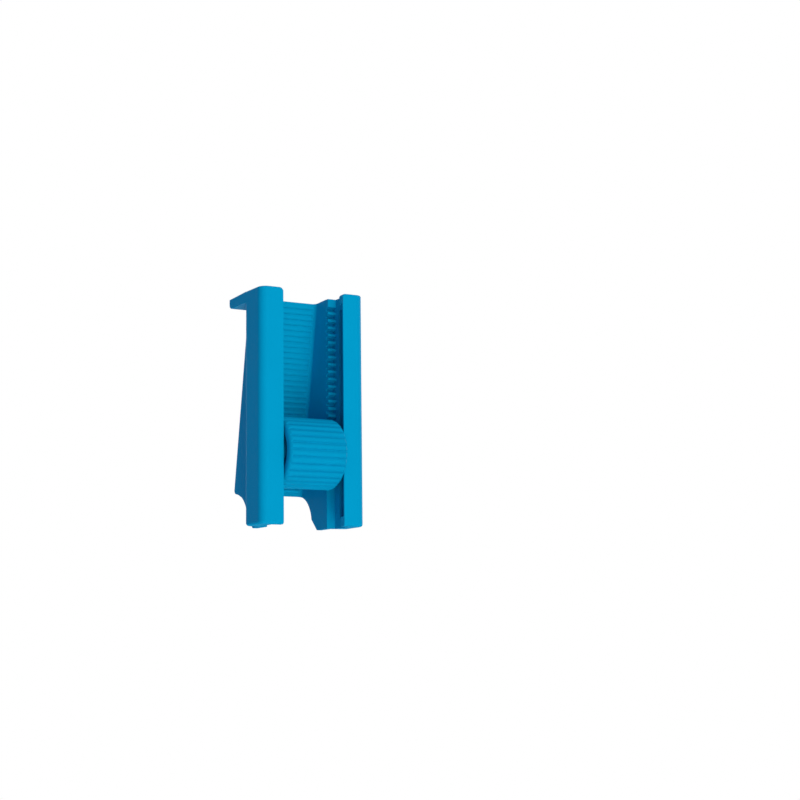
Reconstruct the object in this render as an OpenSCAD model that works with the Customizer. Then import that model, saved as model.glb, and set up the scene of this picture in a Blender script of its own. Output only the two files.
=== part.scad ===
// Tubing pinch clamp: a thumbwheel rolls along an inclined ramp and squeezes a tube against it.
// Front of the clamp faces -Y, the ramp is behind, the tube runs along Z.
// Origin: middle of the lower end, so the clamp stands on Z = 0.

/* [Body] */
// Length of the clamp, end to end
body_length = 41; // [38:0.5:60]
// Width of the channel that the tube lies in
channel_width = 11.7; // [9:0.1:16]
// Thickness of each front rail, across the clamp
rail_thickness = 4.2; // [3.5:0.1:6]
// Radius of the rails' outer front corners
rail_corner = 1.5; // [0.4:0.1:2.5]
// Radius of the rails' outer back corners
rail_back_corner = 1.1; // [0.4:0.1:2]
// Thickness of the lip in front of each slot
front_lip = 1.4; // [1:0.1:2]
// Thickness left at the lip's inner edge by the bevel behind it
lip_edge = 0.3; // [0.2:0.1:0.8]
// Length at each end of the clamp over which the lip isn't bevelled
lip_end = 1.7; // [1:0.1:3]
// Wall left behind the roots of the rack teeth
rack_backing = 0.5; // [0.4:0.1:2]

/* [Ramp] */
// Gap between the wheel and the ramp with the clamp open
open_gap = 5.1; // [4:0.1:7]
// Gap between the wheel and the ramp with the clamp closed
closed_gap = 0.6; // [0.5:0.1:1.5]
// Thickness of the ramp wall
ramp_wall = 1.5; // [0.8:0.1:2]
// Thickness of the cheeks that join the ramp to the rails
cheek_wall = 1; // [0.8:0.1:2]
// Inside radius where the ramp meets the cheeks
trough_corner = 0.8; // [0.3:0.1:1.5]
// Outside radius where the ramp meets the cheeks
ramp_corner = 0.4; // [0.2:0.1:1]
// Spacing of the fine cross ribs on the ramp
ramp_rib_pitch = 1; // [0.8:0.1:2]
// Height of the fine cross ribs on the ramp
ramp_rib_height = 0.15; // [0.05:0.05:0.3]

/* [Ends] */
// Depth of the foot, front of the rails to the back of the cheeks
foot_depth = 12.3; // [11:0.1:13]
// Size of the bevel on the foot's lower back edge
foot_bevel = 2; // [1:0.1:3]
// Height of the ramp's lower edge above the foot
ramp_lift = 6.5; // [5:0.1:9]
// Radius of the hollow between the foot and the ramp's lower edge
relief_radius = 5.2; // [3:0.1:5.4]
// Depth of the flange on the upper end, front of the rails to its tip
flange_depth = 13.1; // [12:0.1:17]
// Thickness of the flange where it leaves the rails
flange_thickness = 2; // [1:0.1:2.5]
// Fall of the flange's top towards its tip
flange_fall = 0.25; // [0.05:0.05:0.5]
// Radius under the flange's tip
flange_nose = 0.7; // [0.3:0.1:0.9]

/* [Rack] */
// Tooth spacing of the racks
rack_pitch = 1.32; // [1.2:0.02:1.4]
// Thickness of a rack tooth, on the line the pinion rolls on
rack_tooth = 0.7; // [0.6:0.02:0.76]
// Height of a rack tooth above that line
rack_addendum = 0.4; // [0.3:0.02:0.45]
// Slope of the tooth flanks, in degrees
pressure_angle = 20; // [16:1:24]
// Depth of the slot that each pinion runs in
slot_depth = 1.6; // [0.8:0.1:2]

/* [Thumbwheel] */
// Diameter over the ribs
wheel_diameter = 12.4; // [11:0.1:14]
// Number of ribs round the wheel
wheel_ribs = 30; // [16:2:48]
// Height of the ribs
rib_height = 0.3; // [0.1:0.05:0.5]
// Bevel on the wheel's two rims, over which the ribs fade out
rim_bevel = 0.5; // [0.3:0.1:0.9]
// Radius of the dished recess in each end
dish_radius = 4.7; // [4:0.1:5.2]
// Depth of the dished recess
dish_depth = 1; // [0.4:0.1:2]
// Number of teeth on each pinion
pinion_teeth = 10; // [9:1:11]
// Height of a pinion tooth above its rolling circle
pinion_addendum = 0.32; // [0.2:0.02:0.34]
// Height of the wheel's axis above the foot with the clamp open
wheel_low = 12.7; // [11:0.1:15]
// Height of the upper end above the wheel's axis with the clamp closed
wheel_head = 2.7; // [2:0.1:8]

/* [Axle pin] */
// Diameter of the pin through the wheel
pin_diameter = 1.2; // [0.8:0.1:1.5]
// Length of pin that runs in each guide groove
pin_reach = 1.2; // [0.5:0.1:1.5]
// Height of the bump under the pin, which holds the wheel at the open stop
stop_bump = 1; // [0.6:0.1:2]

/* [Fits] */
// Free play between a wheel end and the rail beside it
wheel_side_play = 0.25; // [0.15:0.05:0.4]
// Free play between tooth flanks in mesh
mesh_play = 0.07; // [0.06:0.01:0.1]
// Clearance past the tips of the teeth and ends of the pinions
tip_play = 0.1; // [0.08:0.01:0.2]
// Clearance round the pin in the wheel's bore
bore_play = 0.04; // [0.02:0.01:0.08]
// Clearance round the pin in its guide grooves
groove_play = 0.06; // [0.03:0.01:0.09]

/* [Hidden] */
$fn = 64;
body_blue = [0.0, 0.58, 0.8];
wheel_blue = [0.0, 0.55, 0.78];
steel_grey = [0.72, 0.73, 0.74];
cut = 0.01; // how far cutters run past the faces they open
past_foot = 1; // how far the cutters of the hollow reach past the foot

wheel_r = wheel_diameter / 2;
pin_r = pin_diameter / 2;
pitch_r = pinion_teeth * rack_pitch / (2 * PI);
tip_r = pitch_r + pinion_addendum;
root_r = pitch_r - rack_addendum - tip_play;
base_r = pitch_r * cos(pressure_angle);
pinion_tooth = rack_pitch - rack_tooth - 2 * mesh_play / cos(pressure_angle);

// Depths, measured from the front of the rails
axle_depth = front_lip + tip_play + tip_r;
pitch_depth = axle_depth + pitch_r;
rack_tip_depth = pitch_depth - rack_addendum;
rack_root_depth = axle_depth + tip_r + tip_play;
rail_depth = rack_root_depth + rack_backing;

// Widths, measured from the middle
half_channel = channel_width / 2;
half_body = half_channel + rail_thickness;
half_wheel = half_channel - wheel_side_play;
slot_wall = half_channel + slot_depth;
pinion_end = slot_wall - tip_play;
groove_wall = slot_wall + pin_reach;

// Heights
wheel_high = body_length - wheel_head;
wheel_travel = wheel_high - wheel_low;

// Gaps of the rack, counted up from the wheel's axis with the clamp open
engage = tip_r * sin(acos((pitch_r - rack_addendum) / tip_r)) + rack_pitch / 4;
lowest_gap = -ceil(engage / rack_pitch);
highest_gap = floor((wheel_travel + engage) / rack_pitch);

// The ramp stands off the wheel's axis by ramp_reach, square to itself
ramp_angle = asin((open_gap - closed_gap) / wheel_travel);
ramp_reach = wheel_r + open_gap;
function ramp_back(z) =
    axle_depth + (ramp_reach + ramp_wall - (z - wheel_low) * sin(ramp_angle)) / cos(ramp_angle);

// The hollow is an arc that leaves the foot's back upright and ends at the ramp's lower edge
relief_end = [ramp_back(ramp_lift), ramp_lift];
relief_reach = relief_end.x - foot_depth - relief_radius;
relief_centre = [
    foot_depth + relief_radius,
    ramp_lift - sqrt(relief_radius ^ 2 - relief_reach ^ 2)
];

// Middle of the clamp, front to back, from the wheel's ribs to the ramp's lower edge
centre_depth = (axle_depth - wheel_r + relief_end.x) / 2;

// Moves what is drawn from the front of the rails to the clamp's own origin
module in_frame() {
    translate([0, -centre_depth, 0]) children();
}

// Extrudes a side view, drawn as depth and height, across the clamp from one width to another
module across(from, to) {
    rotate([90, 0, 90])
        translate([0, 0, from]) linear_extrude(to - from) children();
}

module both_sides() {
    children();
    mirror([1, 0, 0]) children();
}

module along_ramp() {
    translate([0, axle_depth, wheel_low]) rotate([ramp_angle, 0, 0]) children();
}

// A plate as seen along the ramp, from before the rails to a depth, its rear corners rounded
module trough_outline(half_width, depth, corner) {
    translate([-half_width, -body_length])
        square([2 * half_width, body_length + depth - corner]);
    translate([corner - half_width, 0])
        square([2 * (half_width - corner), depth]);
    for (side = [-1, 1])
        translate([side * (half_width - corner), depth - corner])
            circle(corner);
}

// Space that the tube lies in
module channel() {
    along_ramp()
        linear_extrude(4 * body_length, center = true)
            trough_outline(half_channel, ramp_reach, trough_corner);
}

// Cheeks and ramp, from inside the rails' rear walls up into the flange
module trough_walls() {
    intersection() {
        along_ramp()
            linear_extrude(4 * body_length, center = true)
                trough_outline(half_channel + cheek_wall, ramp_reach + ramp_wall, ramp_corner);
        translate([-half_body, rail_depth - rack_backing / 2, 0])
            cube([2 * half_body, 2 * body_length, body_length - flange_thickness / 2]);
    }
}

// Fine ribs across the ramp, each the top of a thin round bar
module ramp_ribs() {
    bar_r = 0.35 * ramp_rib_pitch;
    half_span = half_channel - trough_corner / 2;
    lowest = (ramp_lift + ramp_rib_pitch - wheel_low) / cos(ramp_angle)
        - ramp_reach * tan(ramp_angle);
    highest = (body_length - ramp_rib_pitch - wheel_low) / cos(ramp_angle)
        - ramp_reach * tan(ramp_angle);
    along_ramp()
        for (along = [lowest : ramp_rib_pitch : highest])
            translate([-half_span, ramp_reach + bar_r - ramp_rib_height, along])
                rotate([0, 90, 0]) cylinder(h = 2 * half_span, r = bar_r, $fn = 24);
}

// Rail with rounded outer corners; the channel is cut into its inner face afterwards
module rail() {
    inner = half_channel - cut;
    linear_extrude(body_length) {
        translate([inner, 0])
            square([half_body - rail_corner - inner, rail_corner]);
        translate([inner, rail_corner])
            square([half_body - rail_back_corner - inner, rail_depth - rail_corner]);
        translate([inner, rail_corner])
            square([half_body - inner, rail_depth - rail_corner - rail_back_corner]);
        translate([half_body - rail_corner, rail_corner])
            circle(rail_corner);
        translate([half_body - rail_back_corner, rail_depth - rail_back_corner])
            circle(rail_back_corner);
    }
}

// Flange, rooted where the rails' back corners begin to round; its top falls behind the rails
module flange() {
    root_depth = rail_depth - rail_back_corner - cut;
    nose = [flange_depth - flange_nose, flange_nose - flange_thickness];
    translate([0, 0, body_length])
        across(-half_body, half_body) {
            polygon([
                [root_depth, 0],
                [rail_depth, 0],
                [flange_depth, -flange_fall],
                [flange_depth, nose.y],
                nose,
                [nose.x, -flange_thickness],
                [root_depth, -flange_thickness]
            ]);
            translate(nose) circle(flange_nose);
        }
}

// Slot that a pinion runs in, open at both ends, and the bevel behind the lip's inner edge
module pinion_slot() {
    translate([half_channel - cut, front_lip, -cut])
        cube([slot_depth + cut, rack_root_depth - front_lip, body_length + 2 * cut]);
    translate([0, 0, lip_end]) linear_extrude(body_length - 2 * lip_end)
        polygon([
            [half_channel - cut, lip_edge - cut * (front_lip - lip_edge) / slot_depth],
            [slot_wall, front_lip],
            [slot_wall, front_lip + cut],
            [half_channel - cut, front_lip + cut]
        ]);
}

// Groove that a pin's end runs in: a short entry near the foot, and the travel above the bump
module pin_groove() {
    groove_r = pin_r + groove_play;
    entry_top = wheel_low - groove_r - stop_bump;
    across(slot_wall - cut, groove_wall + groove_play)
        translate([axle_depth, 0]) {
            translate([-groove_r, lip_end])
                square([2 * groove_r, entry_top - lip_end]);
            translate([0, wheel_low]) circle(groove_r);
            translate([-groove_r, wheel_low])
                square([2 * groove_r, wheel_travel]);
            translate([0, wheel_high]) circle(groove_r);
        }
}

// Side view of what is cut away behind the foot and below the ramp's lower edge
module relief() {
    translate(relief_centre) circle(relief_radius, $fn = 96);
    translate([foot_depth + past_foot, -past_foot])
        square([2 * relief_radius, past_foot + relief_centre.y]);
    polygon([
        [foot_depth - foot_bevel - past_foot, -past_foot],
        [foot_depth + past_foot, -past_foot],
        [foot_depth + past_foot, foot_bevel + past_foot]
    ]);
}

// Side view of a rack tooth or a longer land; low and high are its flanks on the rolling line
module rack_tooth_outline(low, high) {
    tip_in = rack_addendum * tan(pressure_angle);
    root_out = (rack_root_depth + cut - pitch_depth) * tan(pressure_angle);
    polygon([
        [rack_tip_depth, low + tip_in],
        [rack_tip_depth, high - tip_in],
        [rack_root_depth + cut, high + root_out],
        [rack_root_depth + cut, low - root_out]
    ]);
}

// Teeth stand between the gaps that the pinion's teeth drop into, with a plain land above the last
module rack_teeth() {
    side_gap = (rack_pitch - rack_tooth) / 2;
    across(half_channel - cut, slot_wall + cut) {
        for (gap = [lowest_gap : highest_gap - 1])
            translate([0, wheel_low + gap * rack_pitch])
                rack_tooth_outline(side_gap, side_gap + rack_tooth);
        intersection() {
            rack_tooth_outline(wheel_low + highest_gap * rack_pitch + side_gap, 2 * body_length);
            square(body_length);
        }
    }
}

module clamp_body() {
    color(body_blue) in_frame() {
        difference() {
            union() {
                difference() {
                    union() {
                        difference() {
                            union() {
                                both_sides() rail();
                                trough_walls();
                                flange();
                            }
                            both_sides() pinion_slot();
                        }
                        both_sides() rack_teeth();
                    }
                    channel();
                }
                ramp_ribs();
            }
            both_sides() pin_groove();
            across(-half_body - cut, half_body + cut) relief();
        }
    }
}

// Involute tooth form
function involute(r) =
    let (a = acos(min(1, base_r / r))) tan(a) * 180 / PI - a;
function tooth_half_angle(r) =
    pinion_tooth / 2 / pitch_r * 180 / PI + involute(pitch_r) - involute(max(r, base_r));
function on_circle(r, a) = [r * cos(a), r * sin(a)];

module pinion_outline() {
    steps = 4;
    flank = [for (i = [0 : steps]) base_r + (tip_r - base_r) * i / steps];
    circle(root_r);
    for (tooth = [0 : pinion_teeth - 1])
        rotate(tooth * 360 / pinion_teeth)
            polygon(concat(
                [[0, 0]],
                [on_circle(root_r, -tooth_half_angle(base_r))],
                [for (r = flank) on_circle(r, -tooth_half_angle(r))],
                [for (i = [steps : -1 : 0]) on_circle(flank[i], tooth_half_angle(flank[i]))],
                [on_circle(root_r, tooth_half_angle(base_r))]
            ));
}

// Plain drum with bevelled rims, a little larger than the crests of the ribs
module bevelled_drum() {
    outer_r = wheel_r + cut;
    rotate([0, 90, 0]) rotate_extrude($fn = 96)
        polygon([
            [0, -half_wheel],
            [outer_r - rim_bevel, -half_wheel],
            [outer_r, rim_bevel - half_wheel],
            [outer_r, half_wheel - rim_bevel],
            [outer_r - rim_bevel, half_wheel],
            [0, half_wheel]
        ]);
}

module drum() {
    valley_r = wheel_r - rib_height;
    rib_r = 0.95 * PI * wheel_r / wheel_ribs;
    intersection() {
        across(-half_wheel, half_wheel) {
            circle(valley_r, $fn = 96);
            for (rib = [0 : wheel_ribs - 1])
                rotate((rib + 0.5) * 360 / wheel_ribs)
                    translate([wheel_r - rib_r, 0]) circle(rib_r, $fn = 24);
        }
        bevelled_drum();
    }
}

module thumbwheel() {
    hub_r = tip_r + tip_play;
    color(wheel_blue) in_frame()
        translate([0, axle_depth, wheel_low]) difference() {
            union() {
                difference() {
                    drum();
                    both_sides()
                        across(half_wheel - dish_depth, half_wheel + cut)
                            circle(dish_radius, $fn = 96);
                }
                across(-half_wheel, half_wheel) circle(hub_r);
                across(-pinion_end, pinion_end) pinion_outline();
            }
            across(-pinion_end - cut, pinion_end + cut) circle(pin_r + bore_play);
        }
}

module axle_pin() {
    color(steel_grey) in_frame()
        translate([0, axle_depth, wheel_low])
            across(-groove_wall, groove_wall) circle(pin_r);
}

clamp_body();
thumbwheel();
axle_pin();
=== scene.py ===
"""Finishes the tubing pinch clamp: rounded mouldings, plastic and steel, light and camera.

Lengths are in metres unless a name says otherwise. Z runs up the clamp, -Y is its front, where
the wheel is pushed, and the axle lies along X.
"""
from math import cos, hypot, radians, sin, sqrt

import bmesh
import bpy
from mathutils import Matrix, Vector


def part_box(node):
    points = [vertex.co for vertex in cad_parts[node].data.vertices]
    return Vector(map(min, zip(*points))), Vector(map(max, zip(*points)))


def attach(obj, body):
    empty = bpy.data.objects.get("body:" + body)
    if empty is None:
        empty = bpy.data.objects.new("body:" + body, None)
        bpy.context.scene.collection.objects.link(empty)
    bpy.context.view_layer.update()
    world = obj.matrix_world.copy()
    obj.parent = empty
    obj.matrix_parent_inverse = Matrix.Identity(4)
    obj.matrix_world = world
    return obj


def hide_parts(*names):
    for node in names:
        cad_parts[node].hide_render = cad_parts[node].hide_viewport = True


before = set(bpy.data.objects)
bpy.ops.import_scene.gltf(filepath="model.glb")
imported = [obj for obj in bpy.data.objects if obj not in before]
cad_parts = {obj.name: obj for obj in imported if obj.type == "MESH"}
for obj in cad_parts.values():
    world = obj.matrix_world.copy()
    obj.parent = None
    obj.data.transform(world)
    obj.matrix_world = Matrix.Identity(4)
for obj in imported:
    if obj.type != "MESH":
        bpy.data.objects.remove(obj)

bl_info = {
    "name": "Tubing pinch clamp",
    "version": (1, 0, 0),
    "blender": (4, 5, 0),
    "location": "3D View > Sidebar > Clamp",
    "description": "Builds the finished thumbwheel clamp and its studio on the packed frame",
    "category": "Object",
}

MM = 0.001
ACROSS = Vector((1, 0, 0))
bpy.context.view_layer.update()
BODY_LOW, BODY_HIGH = [Vector(corner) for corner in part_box("clamp_body")]
WHEEL_LOW, WHEEL_HIGH = [Vector(corner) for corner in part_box("thumbwheel")]
WHEEL_CENTRE = (WHEEL_LOW + WHEEL_HIGH) / 2
WHEEL_RADIUS = (WHEEL_HIGH.z - WHEEL_LOW.z) / 2
# What lies further out than this from the axle is the drum, and what lies nearer the pinions
DRUM_INNER_RADIUS = 0.75 * WHEEL_RADIUS
# The rims' cuts stay this far inside the drum's ends
RIM_MARGIN = 0.002 * MM

# The arc of the hollow between the foot and the ramp, in the body's middle plane
HOLLOW_RADIUS = 5.2 * MM
HOLLOW_CENTRE = Vector((0, 9.6244, 1.3271)) * MM

# Where the body's edges are looked for
RAIL_OUTER_HALF = 7.6 * MM  # further from the middle plane than this
LIP_DEPTH = 1.6 * MM  # behind the front
HEAD_DEPTH = 1.0 * MM  # below the rails' upper ends
FLANGE_DEPTH = 3.5 * MM  # below the flange's top
CHEEK_TOP = 6 * MM  # above the lower end
CHEEK_SIDE = (6.7 * MM, 7.0 * MM)  # from the middle plane
ON_FACE = 0.05 * MM  # nearer than this to a side face lies on it
ON_END = 0.01 * MM  # nearer than this to an end lies on it

# How much of a face's normal points a way before the face counts as facing it
FACES_SIDEWAYS = 0.95
FACES_INWARD = 0.9
FACES_UP = 0.3
FACES_DOWN = 0.05

# How the loose triangles of the CAD meshes are joined and cut, and which edges stay sharp
SAME_POINT = 0.0005 * MM
ON_CUT = 0.001 * MM
SAME_PLANE = radians(0.4)
CREASE = radians(40)
SHARP = radians(34)

# The fine surface of the moulded plastic
SHEEN = 0.015
FLOW_SCALE = 160
FLOW_TO_ROUGHNESS = 0.16
FLOW_TO_HEIGHT = 2.0
GRAIN_STRENGTH = 0.25
GRAIN_HEIGHT = 0.01 * MM

# The drawn lines of the pin, far longer along it than across
LINE_SCALE = (150, 6000, 6000)
LINE_DARKNESS = 0.8
LINE_ROUGHNESS = 0.08

# The floor lies just below the feet. Its paint gives way to plain white between two distances
# from the clamp's middle, the first below zero, so that it is a little whiter than paint there
FLOOR_DROP = 0.05 * MM
FLOOR_PAINT = 0.9
FLOOR_FADE = (-0.05, 0.15)

# Each lamp's turn from the front and rise, in degrees, and the setting that holds its power
LAMPS = (
    ("Low front lamp", -10, -30, "low_power"),
    ("High front lamp", 0, 40, "high_power"),
    ("Under lamp", 0, -85, "under_power"),
    ("Right rear lamp", 110, 10, "rear_power"),
    ("Rear lamp", 170, 15, "rear_power"),
)
LAMP_DISTANCE = 0.55
LAMP_SIZE = 0.35

SENSOR_WIDTH_MM = 36
NEAREST_SEEN = 0.01


# ---------------------------------------------------------------- settings

class ClampBodySettings(bpy.types.PropertyGroup):
    """Finish of the moulded body."""

    colour: bpy.props.FloatVectorProperty(
        name="Plastic colour", description="Colour of the moulded body",
        subtype="COLOR", size=3, min=0, max=1, default=(0.0, 0.327, 0.575))
    roughness: bpy.props.FloatProperty(
        name="Roughness", description="How dull the moulded faces are",
        subtype="FACTOR", min=0, max=1, default=0.5)
    edge_radius: bpy.props.FloatProperty(
        name="Edge radius", description="Rounding of the moulded edges",
        unit="LENGTH", min=0, default=0.25 * MM)
    foot_radius: bpy.props.FloatProperty(
        name="Foot radius", description="Rounding round the rails' lower ends",
        unit="LENGTH", min=0, default=0.5 * MM)
    lip_radius: bpy.props.FloatProperty(
        name="Lip radius", description="Rounding of the lips' upper inner corners",
        unit="LENGTH", min=0, default=0.6 * MM)
    nose_radius: bpy.props.FloatProperty(
        name="Nose radius", description="Rounding of the ramp's lower back edge",
        unit="LENGTH", min=0, default=1.2 * MM)
    grain: bpy.props.FloatProperty(
        name="Grain size", description="Spacing of the fine texture that the mould leaves",
        unit="LENGTH", min=0.01 * MM, default=0.18 * MM)
    mottling: bpy.props.FloatProperty(
        name="Mottling", description="How much the colour varies where the plastic flowed",
        subtype="FACTOR", min=0, max=1, default=0.08)


class ThumbwheelSettings(bpy.types.PropertyGroup):
    """Finish of the ribbed wheel."""

    colour: bpy.props.FloatVectorProperty(
        name="Plastic colour", description="Colour of the moulded wheel",
        subtype="COLOR", size=3, min=0, max=1, default=(0.0, 0.305, 0.545))
    roughness: bpy.props.FloatProperty(
        name="Roughness", description="How dull the ribs are",
        subtype="FACTOR", min=0, max=1, default=0.52)
    rim_radius: bpy.props.FloatProperty(
        name="Rim radius", description="Rounding of the two rims, where the ribs fade out",
        unit="LENGTH", min=0, default=0.9 * MM)
    grain: bpy.props.FloatProperty(
        name="Grain size", description="Spacing of the fine texture that the mould leaves",
        unit="LENGTH", min=0.01 * MM, default=0.16 * MM)
    mottling: bpy.props.FloatProperty(
        name="Mottling", description="How much the colour varies where the plastic flowed",
        subtype="FACTOR", min=0, max=1, default=0.08)


class AxlePinSettings(bpy.types.PropertyGroup):
    """Finish of the drawn steel pin."""

    colour: bpy.props.FloatVectorProperty(
        name="Steel colour", description="Colour of the drawn steel",
        subtype="COLOR", size=3, min=0, max=1, default=(0.6, 0.61, 0.62))
    roughness: bpy.props.FloatProperty(
        name="Roughness", description="How dull the drawn surface is",
        subtype="FACTOR", min=0, max=1, default=0.32)


class StageSettings(bpy.types.PropertyGroup):
    """Floor, lamps and camera."""

    floor_size: bpy.props.FloatProperty(
        name="Floor size", description="Side of the square floor",
        unit="LENGTH", min=0.1, default=3.0)
    ambient: bpy.props.FloatProperty(
        name="Ambient light", description="Strength of the light from all round",
        min=0, default=0.36)
    ambient_colour: bpy.props.FloatVectorProperty(
        name="Ambient colour", description="Slightly cool colour of the light from all round",
        subtype="COLOR", size=3, min=0, max=1, default=(0.5, 0.64, 1.0))
    low_power: bpy.props.FloatProperty(
        name="Low front lamp", description="Power of the lamp before the clamp and below it",
        min=0, default=1.6)
    high_power: bpy.props.FloatProperty(
        name="High front lamp", description="Power of the lamp before the clamp and above it",
        min=0, default=1.5)
    under_power: bpy.props.FloatProperty(
        name="Under lamp", description="Power of the lamp beneath the clamp",
        min=0, default=1.1)
    rear_power: bpy.props.FloatProperty(
        name="Rear lamps", description="Power of each of the two lamps behind the clamp",
        min=0, default=1.0)
    lamp_colour: bpy.props.FloatVectorProperty(
        name="Lamp colour", description="Slightly warm colour of every lamp",
        subtype="COLOR", size=3, min=0, max=1, default=(1.0, 0.98, 0.86))
    lens: bpy.props.FloatProperty(
        name="Lens", description="Focal length of the camera, in millimetres",
        min=1, default=81.63)
    turn: bpy.props.FloatProperty(
        name="Turn", description="How far the camera looks round to the right",
        subtype="ANGLE", default=radians(30.41))
    rise: bpy.props.FloatProperty(
        name="Rise", description="How far the camera looks up",
        subtype="ANGLE", default=radians(8.35))
    roll: bpy.props.FloatProperty(
        name="Roll", description="Roll of the camera about its line of sight",
        subtype="ANGLE", default=radians(-0.67))
    camera_at: bpy.props.FloatVectorProperty(
        name="Camera position", description="Place of the camera",
        subtype="TRANSLATION", size=3, default=(-0.14421, BODY_LOW.y - 0.27509, -0.02407))


# ---------------------------------------------------------------- materials

def new_material(name):
    """A material with its nodes and links."""
    material = bpy.data.materials.new(name)
    material.use_nodes = True
    return material, material.node_tree.nodes, material.node_tree.links


def math_node(nodes, links, operation, *terms):
    """A Math node fed by sockets or plain numbers, in order."""
    node = nodes.new("ShaderNodeMath")
    node.operation = operation
    for socket, term in zip(node.inputs, terms):
        if isinstance(term, bpy.types.NodeSocket):
            links.new(term, socket)
        else:
            socket.default_value = term
    return node


def moulded_plastic_group():
    """Colour, roughness and height of moulded plastic: flow mottling and fine mould grain."""
    group = bpy.data.node_groups.new("Moulded plastic", "ShaderNodeTree")
    face = group.interface
    for label, kind, default in (
        ("Coordinates", "NodeSocketVector", None),
        ("Colour", "NodeSocketColor", (0.5, 0.5, 0.5, 1)),
        ("Roughness", "NodeSocketFloat", 0.5),
        ("Mottling", "NodeSocketFloat", 0.08),
        ("Grain Scale", "NodeSocketFloat", 5000.0),
    ):
        socket = face.new_socket(label, in_out="INPUT", socket_type=kind)
        if default is not None:
            socket.default_value = default
    for label, kind in (
        ("Colour", "NodeSocketColor"),
        ("Roughness", "NodeSocketFloat"),
        ("Height", "NodeSocketFloat"),
    ):
        face.new_socket(label, in_out="OUTPUT", socket_type=kind)

    nodes, links = group.nodes, group.links
    into = nodes.new("NodeGroupInput").outputs
    out = nodes.new("NodeGroupOutput").inputs

    flow = nodes.new("ShaderNodeTexNoise")
    flow.inputs["Scale"].default_value = FLOW_SCALE
    flow.inputs["Detail"].default_value = 4
    flow.inputs["Roughness"].default_value = 0.55
    links.new(into["Coordinates"], flow.inputs["Vector"])

    grain = nodes.new("ShaderNodeTexNoise")
    grain.inputs["Detail"].default_value = 2
    links.new(into["Coordinates"], grain.inputs["Vector"])
    links.new(into["Grain Scale"], grain.inputs["Scale"])

    # Mottling turns the noise, centred on 0.5, into a gain just above and below 1
    centred = math_node(nodes, links, "SUBTRACT", flow.outputs["Fac"], 0.5)
    gain = math_node(nodes, links, "MULTIPLY_ADD", centred.outputs[0], into["Mottling"], 1.0)
    tint = nodes.new("ShaderNodeVectorMath")
    tint.operation = "SCALE"
    links.new(into["Colour"], tint.inputs[0])
    links.new(gain.outputs[0], tint.inputs["Scale"])
    links.new(tint.outputs[0], out["Colour"])

    dull = math_node(
        nodes, links, "MULTIPLY_ADD", centred.outputs[0], FLOW_TO_ROUGHNESS, into["Roughness"])
    links.new(dull.outputs[0], out["Roughness"])

    # The grain rides on long, shallow sink marks
    height = math_node(
        nodes, links, "MULTIPLY_ADD", flow.outputs["Fac"], FLOW_TO_HEIGHT, grain.outputs["Fac"])
    links.new(height.outputs[0], out["Height"])
    return group


def plastic(name, settings):
    """A moulded plastic in the settings' colour, roughness, grain and mottling."""
    group = bpy.data.node_groups.get("Moulded plastic") or moulded_plastic_group()
    material, nodes, links = new_material(name)
    shader = nodes["Principled BSDF"]
    shader.inputs["Specular IOR Level"].default_value = SHEEN

    place = nodes.new("ShaderNodeTexCoord")
    moulding = nodes.new("ShaderNodeGroup")
    moulding.node_tree = group
    for label, value in (
        ("Colour", (*settings.colour, 1)),
        ("Roughness", settings.roughness),
        ("Mottling", settings.mottling),
        ("Grain Scale", 1 / settings.grain),
    ):
        moulding.inputs[label].default_value = value
    links.new(place.outputs["Object"], moulding.inputs["Coordinates"])
    links.new(moulding.outputs["Colour"], shader.inputs["Base Color"])
    links.new(moulding.outputs["Roughness"], shader.inputs["Roughness"])

    bump = nodes.new("ShaderNodeBump")
    bump.inputs["Strength"].default_value = GRAIN_STRENGTH
    bump.inputs["Distance"].default_value = GRAIN_HEIGHT
    links.new(moulding.outputs["Height"], bump.inputs["Height"])
    links.new(bump.outputs["Normal"], shader.inputs["Normal"])
    return material


def drawn_steel(settings):
    """Steel with the fine lines that drawing leaves along the pin."""
    material, nodes, links = new_material("Drawn steel")
    shader = nodes["Principled BSDF"]
    shader.inputs["Metallic"].default_value = 1.0

    place = nodes.new("ShaderNodeTexCoord")
    along = nodes.new("ShaderNodeMapping")
    along.inputs["Scale"].default_value = LINE_SCALE
    lines = nodes.new("ShaderNodeTexNoise")
    lines.inputs["Scale"].default_value = 1.0
    lines.inputs["Detail"].default_value = 3
    links.new(place.outputs["Object"], along.inputs["Vector"])
    links.new(along.outputs["Vector"], lines.inputs["Vector"])

    tone = nodes.new("ShaderNodeValToRGB")
    dark, light = tone.color_ramp.elements
    dark.color = (*[LINE_DARKNESS * part for part in settings.colour], 1)
    light.color = (*settings.colour, 1)
    links.new(lines.outputs["Fac"], tone.inputs["Fac"])
    links.new(tone.outputs["Color"], shader.inputs["Base Color"])

    dull = nodes.new("ShaderNodeMapRange")
    dull.inputs["To Min"].default_value = settings.roughness - LINE_ROUGHNESS
    dull.inputs["To Max"].default_value = settings.roughness + LINE_ROUGHNESS
    links.new(lines.outputs["Fac"], dull.inputs["Value"])
    links.new(dull.outputs["Result"], shader.inputs["Roughness"])
    return material


# ---------------------------------------------------------------- shapes

def whole_faces(bm):
    """Joins faces that lie in one plane."""
    bmesh.ops.dissolve_limit(
        bm, angle_limit=SAME_PLANE, use_dissolve_boundaries=False,
        verts=bm.verts, edges=bm.edges, delimit={"NORMAL"})


def merged_copy(node):
    """A bmesh of a CAD node with its loose triangles joined into whole faces."""
    bm = bmesh.new()
    bm.from_mesh(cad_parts[node].data)
    bmesh.ops.remove_doubles(bm, verts=bm.verts, dist=SAME_POINT)
    whole_faces(bm)
    return bm


def is_crease(edge):
    """Whether an edge is an outer corner of the moulding."""
    return len(edge.link_faces) == 2 and edge.is_convex and edge.calc_face_angle() > CREASE


def middle_of(edge):
    """The place halfway along an edge."""
    return (edge.verts[0].co + edge.verts[1].co) / 2


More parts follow.
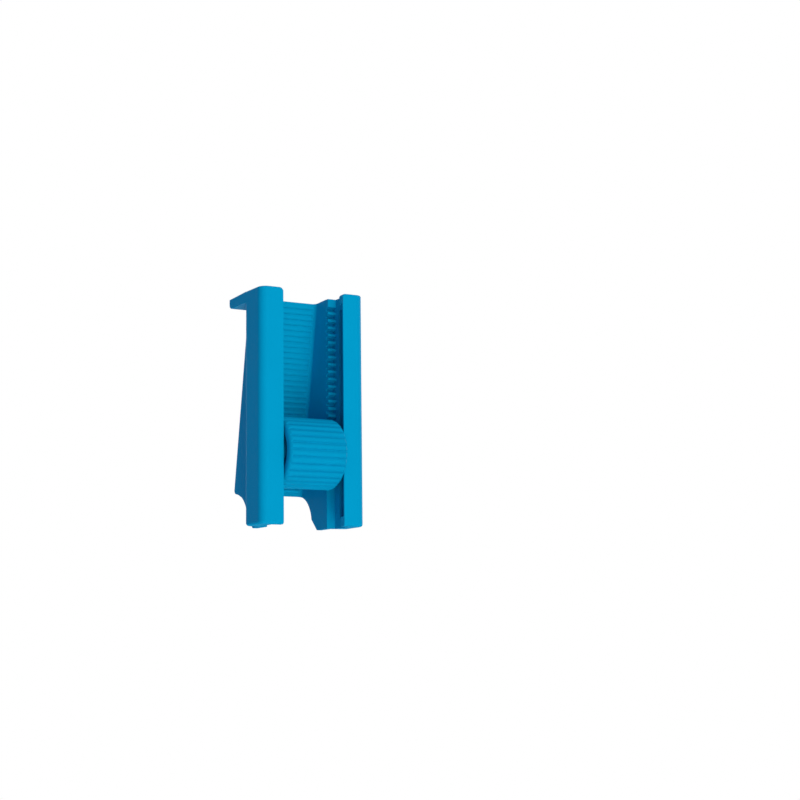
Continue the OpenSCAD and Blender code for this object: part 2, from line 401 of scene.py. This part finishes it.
def faces_sideways(edge):
    """Whether a face at the edge is square to the clamp's width."""
    return max(abs(face.normal.x) for face in edge.link_faces) > FACES_SIDEWAYS


def soften(bm, chosen, radius, segments=3):
    """Rounds the outer corners that the given test picks."""
    bmesh.ops.bevel(
        bm, geom=[edge for edge in bm.edges if is_crease(edge) and chosen(edge)],
        offset=radius, offset_type="OFFSET", segments=segments, profile=0.5,
        affect="EDGES", clamp_overlap=False, material=-1)


def cut_across(bm, faces, place, normal):
    """Cuts the given faces along a plane, so that the moulding can be shaped there."""
    # Each part once, in a fixed order
    parts = dict.fromkeys(part for face in faces for part in (face, *face.edges, *face.verts))
    bmesh.ops.bisect_plane(
        bm, geom=list(parts), dist=ON_CUT, plane_co=place, plane_no=normal)


def finished_object(name, bm, material, body, node):
    """Turns the bmesh into a piece that rides on a body and stands for a CAD node."""
    mesh = bpy.data.meshes.new(name)
    bm.to_mesh(mesh)
    bm.free()
    # The CAD mesh's own normals no longer fit the new shape
    stale_normals = mesh.attributes.get("custom_normal")
    if stale_normals:
        mesh.attributes.remove(stale_normals)
    mesh.materials.clear()
    mesh.materials.append(material)
    mesh.shade_smooth()
    mesh.set_sharp_from_angle(angle=SHARP)
    piece = bpy.data.objects.new(name, mesh)
    bpy.context.scene.collection.objects.link(piece)
    weights = piece.modifiers.new("Flat faces stay flat", "WEIGHTED_NORMAL")
    weights.keep_sharp = True
    weights.weight = 90
    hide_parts(node)
    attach(piece, body)


class CLAMP_OT_body(bpy.types.Operator):
    """Moulded body with a rounded nose and softened edges"""

    bl_idname = "clamp.body"
    bl_label = "Clamp body"

    def execute(self, context):
        settings = context.scene.clamp_body
        bm = merged_copy("clamp_body")
        self.round_nose(bm, settings.nose_radius)
        whole_faces(bm)
        soften(bm, self.foot_edge, settings.foot_radius, segments=5)
        soften(bm, self.lip_corner, settings.lip_radius, segments=4)
        soften(bm, self.head_edge, settings.edge_radius)
        soften(bm, self.cheek_edge, settings.edge_radius / 2, segments=2)
        finished_object(
            "moulded_body", bm, plastic("Body plastic", settings),
            body="clamp_body", node="clamp_body")
        return {"FINISHED"}

    @staticmethod
    def round_nose(bm, radius, steps=7):
        """Rounds the ramp's lower back edge, where the hollow leaves a bevel no room."""
        nose = max(bm.verts, key=lambda vert: vert.co.y)
        back = max(nose.link_faces, key=lambda face: face.normal.y).normal.copy()
        corner = Vector((0, nose.co.y, nose.co.z))

        # The round touches both the ramp's back and the hollow's arc: from the point that lies
        # one radius inside the corner, its middle is slid along the back until it does
        inset = corner - radius * back - HOLLOW_CENTRE
        up = ACROSS.cross(back)
        lead = inset.dot(up)
        reach = sqrt(lead ** 2 + (HOLLOW_RADIUS + radius) ** 2 - inset.length_squared) - lead
        middle = HOLLOW_CENTRE + inset + reach * up
        under = (HOLLOW_CENTRE - middle).normalized()

        # Cuts fan out from the middle, and what stands outside the round is drawn in to it
        for step in range(steps + 1):
            spoke = under.lerp(back, step / steps).normalized()
            near = [
                face for face in bm.faces
                if any(hypot(vert.co.y - corner.y, vert.co.z - corner.z) < 2 * radius
                       for vert in face.verts)
            ]
            cut_across(bm, near, middle, ACROSS.cross(spoke))
        # A way within the round is no further from either of its ends than they are apart
        apart = back.dot(under) - 0.001
        for vert in bm.verts:
            spoke = Vector((0, vert.co.y - middle.y, vert.co.z - middle.z))
            if radius < spoke.length < 2 * radius:
                way = spoke.normalized()
                if min(way.dot(back), way.dot(under)) > apart:
                    vert.co.y = middle.y + radius * way.y
                    vert.co.z = middle.z + radius * way.z

    @staticmethod
    def on_rail_outline(place):
        """Whether a place is on the rails' fronts, outer sides or backs, clear of the slots."""
        return place.y < BODY_LOW.y + ON_FACE or abs(place.x) > RAIL_OUTER_HALF

    def foot_edge(self, edge):
        """Edges round the rails' lower ends."""
        middle = middle_of(edge)
        return middle.z < ON_END and self.on_rail_outline(middle)

    @staticmethod
    def lip_corner(edge):
        """Edges between the rails' upper ends and the inner sides of their lips."""
        middle = middle_of(edge)
        inward = any(
            face.normal.x * middle.x < -FACES_INWARD * abs(middle.x) for face in edge.link_faces)
        return (inward and middle.z > BODY_HIGH.z - ON_END
                and middle.y < BODY_LOW.y + LIP_DEPTH)

    def head_edge(self, edge):
        """Edges round the rails' upper ends and along the flange's two ends."""
        middle = middle_of(edge)
        beside = faces_sideways(edge)
        upward = max(face.normal.z for face in edge.link_faces) > FACES_UP
        if upward and middle.z > BODY_HIGH.z - HEAD_DEPTH:
            return self.on_rail_outline(middle) and (beside or middle.y < 0)
        return (beside and abs(middle.x) > BODY_HIGH.x - ON_FACE
                and middle.z > BODY_HIGH.z - FLANGE_DEPTH and middle.y > 0)

    @staticmethod
    def cheek_edge(edge):
        """Lower edges of the two thin cheeks, on their outer sides."""
        middle = middle_of(edge)
        nearest, furthest = CHEEK_SIDE
        downward = min(face.normal.z for face in edge.link_faces) < -FACES_DOWN
        return (faces_sideways(edge) and downward and middle.z < CHEEK_TOP and middle.y > 0
                and nearest < abs(middle.x) < furthest)


class CLAMP_OT_thumbwheel(bpy.types.Operator):
    """Ribbed wheel with rounded rims"""

    bl_idname = "clamp.thumbwheel"
    bl_label = "Thumbwheel"

    def execute(self, context):
        settings = context.scene.clamp_thumbwheel
        bm = merged_copy("thumbwheel")
        self.round_rims(bm, settings.rim_radius)
        finished_object(
            "ribbed_wheel", bm, plastic("Wheel plastic", settings),
            body="thumbwheel", node="thumbwheel")
        return {"FINISHED"}

    def round_rims(self, bm, radius, steps=7):
        """Rounds both ends of the drum, so that the ribs fade out before the rims."""
        end = max(vert.co.x for vert in bm.verts if self.out_from_axle(vert) > DRUM_INNER_RADIUS)
        for step in range(steps):
            place = end - radius * (1 - sin(radians(90 * step / steps))) - RIM_MARGIN
            for side in (-1, 1):
                cut_across(bm, bm.faces, side * place * ACROSS, ACROSS)
        for vert in bm.verts:
            out = self.out_from_axle(vert)
            past = abs(vert.co.x) - (end - radius)
            if past > 0 and out > DRUM_INNER_RADIUS:
                allowed = WHEEL_RADIUS - radius + sqrt(max(radius ** 2 - past ** 2, 0))
                scale = min(1, allowed / out)
                vert.co.y = WHEEL_CENTRE.y + scale * (vert.co.y - WHEEL_CENTRE.y)
                vert.co.z = WHEEL_CENTRE.z + scale * (vert.co.z - WHEEL_CENTRE.z)

    @staticmethod
    def out_from_axle(vert):
        """How far a point lies from the axle's line."""
        return hypot(vert.co.y - WHEEL_CENTRE.y, vert.co.z - WHEEL_CENTRE.z)


class CLAMP_OT_axle_pin(bpy.types.Operator):
    """Drawn steel finish on the axle pin"""

    bl_idname = "clamp.axle_pin"
    bl_label = "Axle pin"

    def execute(self, context):
        material = drawn_steel(context.scene.clamp_axle_pin)
        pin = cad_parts["axle_pin"]
        pin.data.materials.clear()
        pin.data.materials.append(material)
        return {"FINISHED"}


# ---------------------------------------------------------------- stage

def seen_directly(nodes, links):
    """1 where a camera, mirror or glass ray meets the surface, 0 for the light that it gives."""
    path = nodes.new("ShaderNodeLightPath")
    total = path.outputs["Is Camera Ray"]
    for kind in ("Is Glossy Ray", "Is Transmission Ray"):
        total = math_node(nodes, links, "MAXIMUM", total, path.outputs[kind]).outputs[0]
    return total


def mix_node(nodes, links, factor, first, second):
    """A Mix Shader node between the outputs of two shader nodes."""
    mix = nodes.new("ShaderNodeMixShader")
    links.new(factor, mix.inputs["Fac"])
    links.new(first.outputs[0], mix.inputs[1])
    links.new(second.outputs[0], mix.inputs[2])
    return mix


def floor_material():
    """Pale floor that is seen from above only, and lets light up through it."""
    material, nodes, links = new_material("Pale floor")
    nodes.clear()
    surface = nodes.new("ShaderNodeOutputMaterial")
    clear = nodes.new("ShaderNodeBsdfTransparent")
    paint = nodes.new("ShaderNodeBsdfDiffuse")
    paint.inputs["Color"].default_value = (FLOOR_PAINT, FLOOR_PAINT, FLOOR_PAINT, 1)
    white = nodes.new("ShaderNodeEmission")

    # Painted under the clamp, where its shadow falls, and plain white further off
    place = nodes.new("ShaderNodeTexCoord")
    reach = nodes.new("ShaderNodeVectorMath")
    reach.operation = "LENGTH"
    fade = nodes.new("ShaderNodeMapRange")
    fade.interpolation_type = "SMOOTHSTEP"
    fade.inputs["From Min"].default_value, fade.inputs["From Max"].default_value = FLOOR_FADE
    links.new(place.outputs["Object"], reach.inputs[0])
    links.new(reach.outputs["Value"], fade.inputs["Value"])
    pale = mix_node(nodes, links, fade.outputs["Result"], paint, white)

    geometry = nodes.new("ShaderNodeNewGeometry")
    above = math_node(
        nodes, links, "SUBTRACT", seen_directly(nodes, links), geometry.outputs["Backfacing"])
    above.use_clamp = True
    seen = mix_node(nodes, links, above.outputs[0], clear, pale)
    links.new(seen.outputs[0], surface.inputs["Surface"])
    return material


def floor_object(size):
    """A square floor just below the feet."""
    bm = bmesh.new()
    bmesh.ops.create_grid(bm, x_segments=1, y_segments=1, size=size / 2)
    bmesh.ops.translate(bm, verts=bm.verts, vec=(0, 0, -FLOOR_DROP))
    mesh = bpy.data.meshes.new("Floor")
    bm.to_mesh(mesh)
    bm.free()
    mesh.materials.append(floor_material())
    floor = bpy.data.objects.new("Floor", mesh)
    bpy.context.scene.collection.objects.link(floor)
    return floor


def lit_world(settings):
    """A world that shows white and lights the clamp with the ambient light."""
    world = bpy.data.worlds.new("Studio")
    world.use_nodes = True
    nodes, links = world.node_tree.nodes, world.node_tree.links
    soft = nodes["Background"]
    soft.inputs["Color"].default_value = (*settings.ambient_colour, 1)
    soft.inputs["Strength"].default_value = settings.ambient
    white = nodes.new("ShaderNodeBackground")
    white.inputs["Color"].default_value = (1, 1, 1, 1)
    shown = mix_node(nodes, links, seen_directly(nodes, links), soft, white)
    links.new(shown.outputs[0], nodes["World Output"].inputs["Surface"])
    return world


def soft_lamp(name, turn, rise, power, colour):
    """A square soft lamp that faces the clamp from its turn and rise."""
    light = bpy.data.lights.new(name, "AREA")
    light.shape = "SQUARE"
    light.size = LAMP_SIZE
    light.energy = power
    light.color = colour
    holder = bpy.data.objects.new(name, light)
    turn, rise = radians(turn), radians(rise)
    away = Vector((sin(turn) * cos(rise), -cos(turn) * cos(rise), sin(rise)))
    holder.location = Vector((0, 0, BODY_HIGH.z / 2)) + LAMP_DISTANCE * away
    holder.rotation_euler = away.to_track_quat("Z", "Y").to_euler()
    holder.visible_camera = False
    bpy.context.scene.collection.objects.link(holder)


def aimed_camera(settings):
    """The scene's camera, from its place, turn, rise and roll."""
    ahead = Vector((
        sin(settings.turn) * cos(settings.rise),
        cos(settings.turn) * cos(settings.rise),
        sin(settings.rise)))
    level_right = Vector((cos(settings.turn), -sin(settings.turn), 0))
    level_up = level_right.cross(ahead)
    right = cos(settings.roll) * level_right + sin(settings.roll) * level_up
    up = -sin(settings.roll) * level_right + cos(settings.roll) * level_up
    lens = bpy.data.cameras.new("Camera")
    lens.lens = settings.lens
    lens.sensor_width = SENSOR_WIDTH_MM
    lens.clip_start = NEAREST_SEEN
    camera = bpy.data.objects.new("Camera", lens)
    axes = Matrix((right, up, -ahead)).transposed().to_4x4()
    camera.matrix_world = Matrix.Translation(settings.camera_at) @ axes
    bpy.context.scene.collection.objects.link(camera)
    bpy.context.scene.camera = camera


class CLAMP_OT_stage(bpy.types.Operator):
    """Pale floor, soft lamps, white surroundings and the camera"""

    bl_idname = "clamp.stage"
    bl_label = "Stage"

    def execute(self, context):
        settings = context.scene.clamp_stage
        floor_object(settings.floor_size)
        for name, turn, rise, power in LAMPS:
            soft_lamp(name, turn, rise, getattr(settings, power), settings.lamp_colour)
        context.scene.world = lit_world(settings)
        context.scene.view_settings.view_transform = "Standard"
        aimed_camera(settings)
        return {"FINISHED"}


class CLAMP_PT_panel(bpy.types.Panel):
    """Lists the clamp's pieces and its stage"""

    bl_idname = "CLAMP_PT_panel"
    bl_label = "Tubing pinch clamp"
    bl_space_type = "VIEW_3D"
    bl_region_type = "UI"
    bl_category = "Clamp"

    def draw(self, context):
        scene = context.scene
        for operator, settings in SECTIONS:
            box = self.layout.box()
            box.operator(operator.bl_idname)
            group = getattr(scene, settings)
            for key in group.bl_rna.properties.keys():
                if key not in {"rna_type", "name"}:
                    box.prop(group, key)


SETTINGS = {
    "clamp_body": ClampBodySettings,
    "clamp_thumbwheel": ThumbwheelSettings,
    "clamp_axle_pin": AxlePinSettings,
    "clamp_stage": StageSettings,
}
SECTIONS = (
    (CLAMP_OT_body, "clamp_body"),
    (CLAMP_OT_thumbwheel, "clamp_thumbwheel"),
    (CLAMP_OT_axle_pin, "clamp_axle_pin"),
    (CLAMP_OT_stage, "clamp_stage"),
)


def register():
    """Adds the settings, the operators and the panel."""
    for attribute, group in SETTINGS.items():
        bpy.utils.register_class(group)
        setattr(bpy.types.Scene, attribute, bpy.props.PointerProperty(type=group))
    for operator, _ in SECTIONS:
        bpy.utils.register_class(operator)
    bpy.utils.register_class(CLAMP_PT_panel)


def unregister():
    """Removes what register adds, in reverse."""
    bpy.utils.unregister_class(CLAMP_PT_panel)
    for operator, _ in reversed(SECTIONS):
        bpy.utils.unregister_class(operator)
    for attribute, group in reversed(SETTINGS.items()):
        delattr(bpy.types.Scene, attribute)
        bpy.utils.unregister_class(group)


def build_clamp():
    """Builds every piece and the stage."""
    register()
    bpy.ops.clamp.body()
    bpy.ops.clamp.thumbwheel()
    bpy.ops.clamp.axle_pin()
    bpy.ops.clamp.stage()


if __name__ == "__main__":
    build_clamp()
